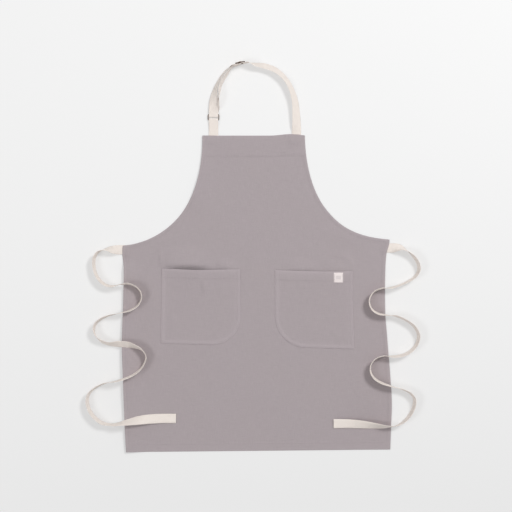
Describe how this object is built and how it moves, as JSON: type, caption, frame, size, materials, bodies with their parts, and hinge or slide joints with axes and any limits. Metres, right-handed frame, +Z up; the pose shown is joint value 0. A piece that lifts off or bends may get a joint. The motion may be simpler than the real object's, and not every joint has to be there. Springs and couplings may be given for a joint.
{
  "type": "bib apron",
  "caption": "Full-length bib apron laid flat: hemmed linen panel, patch pockets, adjustable neck strap with ring and slider, and two waist ties.",
  "frame": {"origin": "on the table the apron lies on, under the middle of the box round the apron with its neck loop; the two loose waist ties are not counted", "axes": "+Y from the hem to the neck loop, +X to the right as seen from the front, +Z up, out of the apron's face"},
  "size_m": [0.8932, 1.0471, 0.0312],
  "materials": {
    "cloth": "washed linen, matt, warm grey",
    "tape": "cotton herringbone tape, matt, natural cream",
    "label": "woven label, matt, cream",
    "thread": "sewing thread, slightly darker than the cloth",
    "brass": "antique brass, dark brown, satin"
  },
  "bodies": {
    "apron": {"apron_panel": "cloth", "left_pocket": "cloth", "right_pocket": "cloth", "pocket_label": "label", "neck_strap": "tape", "neck_tab": "tape", "left_tie": "tape", "right_tie": "tape", "bib_hem_seam": "thread", "left_armhole_seam": "thread", "right_armhole_seam": "thread", "left_side_seam": "thread", "right_side_seam": "thread", "bottom_hem_seam": "thread", "left_pocket_seam": "thread", "right_pocket_seam": "thread", "left_pocket_hem_seam": "thread", "right_pocket_hem_seam": "thread", "label_seam": "thread", "left_tie_stitch": "thread", "right_tie_stitch": "thread", "tab_stitch": "thread", "strap_stitch": "thread", "strap_end_stitch": "thread"},
    "ring": {"strap_ring": "brass"},
    "slider": {"strap_slider": "brass"}
  },
  "joints": [
    {"name": "ring_swing", "type": "hinge", "parent": "apron", "child": "ring", "pos_m": [-0.112, 0.36845, 0.00285], "axis": [1, 0, 0], "range_deg": [0, 90], "deforming": ["neck_strap"]},
    {"name": "slider_slide", "type": "slide", "parent": "apron", "child": "slider", "axis": [-0.9833, -0.1822, 0], "range_m": [-0.015, 0.015], "deforming": ["neck_strap"]}
  ]
}
